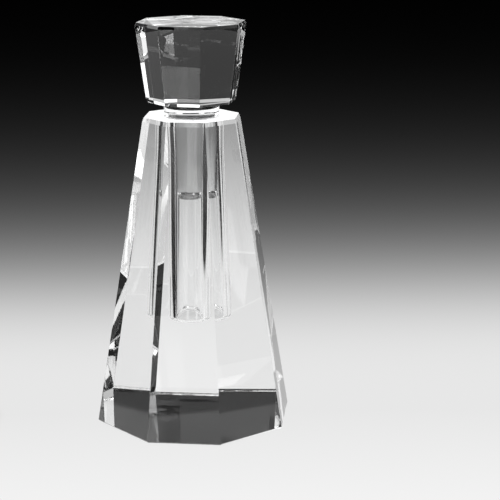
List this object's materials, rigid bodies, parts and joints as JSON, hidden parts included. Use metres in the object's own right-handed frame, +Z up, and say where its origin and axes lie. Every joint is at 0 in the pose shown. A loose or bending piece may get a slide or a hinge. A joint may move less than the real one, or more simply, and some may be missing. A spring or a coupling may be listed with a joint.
{
  "type": "stoppered crystal bottle",
  "caption": "Tall eight-sided cut-crystal bottle with a drilled well, closed by a faceted stopper on a round collar and a ground conical plug.",
  "frame": {"origin": "centre of the base, on the surface the bottle stands on", "axes": "+Z up along the well and the stopper; +X and +Y are square to two of the body's flats"},
  "size_m": [0.1162, 0.1162, 0.25],
  "materials": {
    "cut_crystal": "flat facets polished to a mirror, crisp bevelled edges",
    "turned_crystal": "turned and polished",
    "ground_crystal": "clear, with a slight haze and faint grinding rings; the finish in the hidden fit is assumed"
  },
  "bodies": {
    "bottle": {"bottle_body": "cut_crystal"},
    "stopper": {"stopper_head": "cut_crystal", "stopper_collar": "turned_crystal", "stopper_plug": "ground_crystal"}
  },
  "joints": [
    {"name": "stopper_lift", "type": "slide", "parent": "bottle", "child": "stopper", "axis": [0, 0, 1], "range_m": [0, 0.09]}
  ]
}
